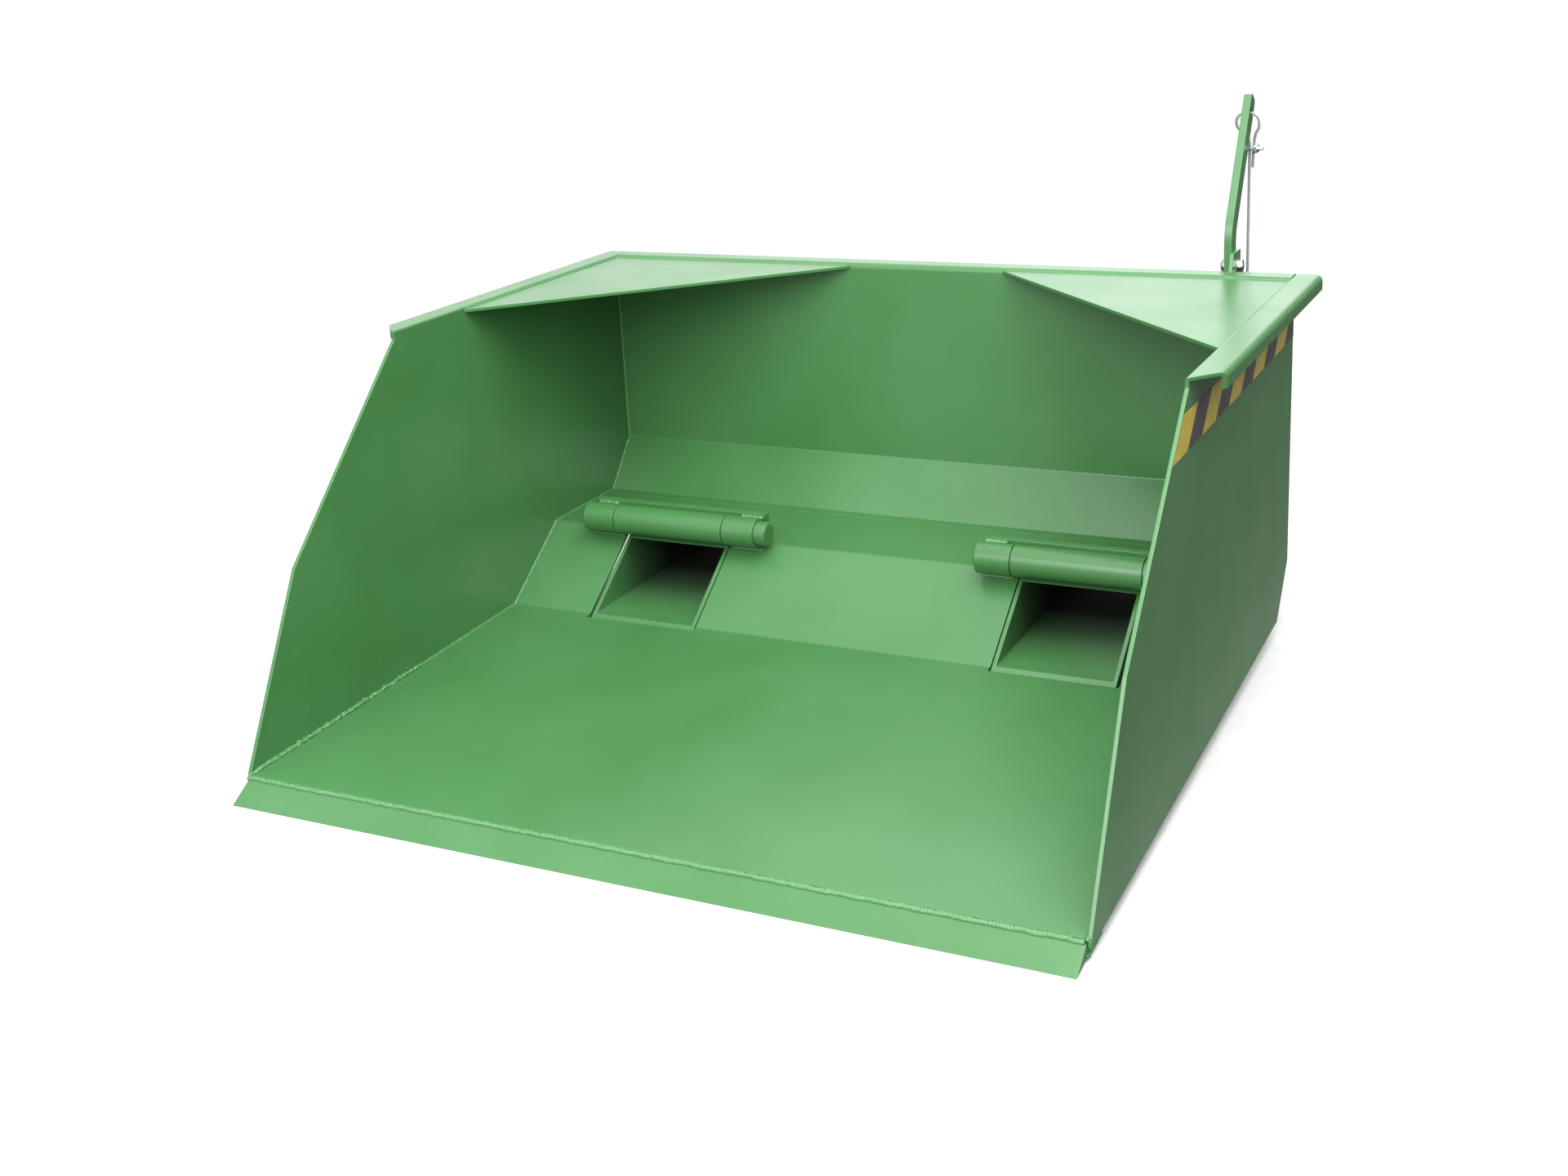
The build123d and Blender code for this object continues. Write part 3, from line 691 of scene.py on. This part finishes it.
HINGE = (815, 170)                          # the hinge's axis
BARRELS = [(192, 244), (454, 506)]          # |X| of the bucket's barrels
PADS = [(196, 232), (468, 504)]             # and of the weld pads over them
for label, sign in (("left", -1), ("right", 1)):

    def across(near, far, behind, z):
        """A run of weld along X on this side."""
        return [at(sign * near, behind, z), at(sign * far, behind, z)]

    weld(
        f"weld_hinge_pads_{label}",
        "bucket",
        [across(*pad, HINGE[0] + 22, HINGE[1] + 18) for pad in PADS],
        5.5 * MM,
        lumps=0.3,
    )
    weld(
        f"weld_hinge_foot_{label}",
        "bucket",
        [across(*barrel, HINGE[0] + 11.5, 137.5) for barrel in BARRELS]
        + [across(190, 508, HINGE[0] + 41.5, 146)],
        3.4 * MM,
    )

# the ear that carries the lever, on the rim
weld(
    "weld_lever_ear",
    "bucket",
    [
        [at(494.6, 1129, 564), at(494.6, 1146, 564)],
        [at(500.6, 1129, 564), at(500.6, 1148, 564), at(500.6, 1148, 541)],
    ],
    2.4 * MM,
)


def frame_around(x, behind, depth, z, height):
    """The outline of a tube's end in a plane across X."""
    far, top = behind + depth, z + height
    corners = [(behind, z), (far, z), (far, top), (behind, top), (behind, z)]
    return [at(x, *corner) for corner in corners]


POCKET_LOW, POCKET_IN = 39, 251.5           # the fork pockets' underside and inner face
for label, sign in (("left", -1), ("right", 1)):
    weld(
        f"weld_skid_{label}",
        "fork_frame",
        [
            run
            for x in (sign * 316.5, sign * 376.5)
            for run in stitches(at(x, 864, POCKET_LOW), at(x, 1148, POCKET_LOW), 50 * MM, 60 * MM)
        ]
        + [[at(sign * 317, 862, POCKET_LOW), at(sign * 376, 862, POCKET_LOW)]],
        3 * MM,
    )
    weld(
        f"weld_cross_tubes_{label}",
        "fork_frame",
        [
            frame_around(sign * POCKET_IN, 862, 40, 60, 60),
            frame_around(sign * POCKET_IN, 1085, 60, 50, 80),
        ],
        3 * MM,
    )

stud_low, stud_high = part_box("catch_stud")
stud_y, stud_z = (stud_low.y + stud_high.y) / 2, (stud_low.z + stud_high.z) / 2
plate_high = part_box("catch_plate")[1]
ring = [
    Vector(
        (
            plate_high.x,
            stud_y + 12.5 * MM * math.cos(math.radians(angle)),
            stud_z + 12.5 * MM * math.sin(math.radians(angle)),
        )
    )
    for angle in range(0, 361, 24)
]
weld(
    "weld_catch",
    "fork_frame",
    [
        ring,
        [at(441.5, 1150, 133), at(441.5, 1060, 133), at(441.5, 1060, 47), at(441.5, 1150, 47)],
    ],
    2.6 * MM,
)

# spatter that the brush missed, under the paint beside the left floor seam
DROPS = 46
chance = random.Random(7)
drops = []
for k in range(DROPS):
    behind = 60 + 560 * chance.random() ** 1.6
    off = 4 + 45 * chance.random() ** 2
    size = 0.7 + 0.9 * chance.random()
    on_side = chance.random() < 0.35
    floor_z = 27 + (behind - 41) * 16.5 / 652
    place = at(-inner + (0 if on_side else off), behind, floor_z + (off if on_side else 0))
    bpy.ops.object.select_all(action="DESELECT")
    bpy.ops.mesh.primitive_ico_sphere_add(subdivisions=2, radius=size * MM, location=place)
    drops.append(bpy.context.object)
    settle(drops[-1])
spatter = joined("weld_spatter", drops)
smooth(spatter)
finish_as(spatter, "green_paint", "bucket")
bpy.data.objects.remove(ripple)


# ======================================================================== the studio
floor_material, tree, shader, place = new_material("matt_studio_floor")
speck = noise(tree, place["Object"], 30.0, 3.0)
# pale to look at, and in what the paint reflects a greyer ground, darkest on the right
ground_x = add(tree, "ShaderNodeSeparateXYZ", {"Vector": place["Object"]}).outputs["X"]
rightward = remap(tree, ground_x, 0.6, 0.75)
ground = mixed(
    tree,
    add(tree, "ShaderNodeLightPath").outputs["Is Camera Ray"],
    shades(tree, rightward, [(0.0, "#787876"), (1.0, "#393938")]),
    shades(tree, speck, [(0.3, "#C4C4C2"), (0.7, "#CACAC8")]),
    data_type="RGBA",
)
set_shader(tree, shader, Base_Color=ground, Roughness=0.9)
bpy.ops.object.select_all(action="DESELECT")
bpy.ops.mesh.primitive_plane_add(size=160, location=(0, 0, 0))
floor = made("studio_floor")
floor.data.materials.append(floor_material)

world = bpy.data.worlds.new("soft_sky")
bpy.context.scene.world = world
world.use_nodes = True
tree = world.node_tree
sky = add(tree, "ShaderNodeTexCoord").outputs["Generated"]
ways = add(tree, "ShaderNodeSeparateXYZ", {"Vector": sky}).outputs
lit = remap(tree, ways["Z"], 0.0, 0.9, 2.1, 2.15)
backward = measure(tree, "MULTIPLY", ways["Y"], 0.8)
right_behind = measure(tree, "MULTIPLY_ADD", ways["X"], 0.6, backward)
low_right = measure(tree, "MULTIPLY_ADD", ways["Z"], -1.0, ways["X"])
for factor in (
    remap(tree, right_behind, 0.66, 0.85, 1.0, 0.15),     # dark walls behind the right side
    remap(tree, ways["X"], -0.65, -0.2, 0.6, 1.0),        # the sky falls off to the left
    remap(tree, ways["Y"], 0.85, 0.95, 1.0, 1.12),        # a bright door straight behind
    remap(tree, low_right, 0.3, 0.7, 1.0, 0.3),           # and little light low on the right
):
    lit = measure(tree, "MULTIPLY", lit, factor)
background = tree.nodes["Background"]
background.inputs["Color"].default_value = linear("#FBFDFF")
tree.links.new(lit, background.inputs["Strength"])


def softbox(name, place, aim, width, depth, power):
    """A large soft lamp that faces a point."""
    lamp = bpy.data.lights.new(name, "AREA")
    lamp.shape, lamp.size, lamp.size_y, lamp.energy = "RECTANGLE", width, depth, power
    stand = bpy.data.objects.new(name, lamp)
    bpy.context.scene.collection.objects.link(stand)
    stand.location = place
    stand.rotation_mode = "QUATERNION"
    stand.rotation_quaternion = (Vector(place) - Vector(aim)).to_track_quat("Z", "Y")


softbox("front_softbox", (0.3, -4.2, 2.6), (0, 0.1, 0.2), 3.0, 2.2, 160)
softbox("fill_softbox", (1.0, -0.8, 3.2), (-0.6, 0, 0.3), 2.4, 2.0, 110)

bpy.context.scene.view_settings.view_transform = "Standard"
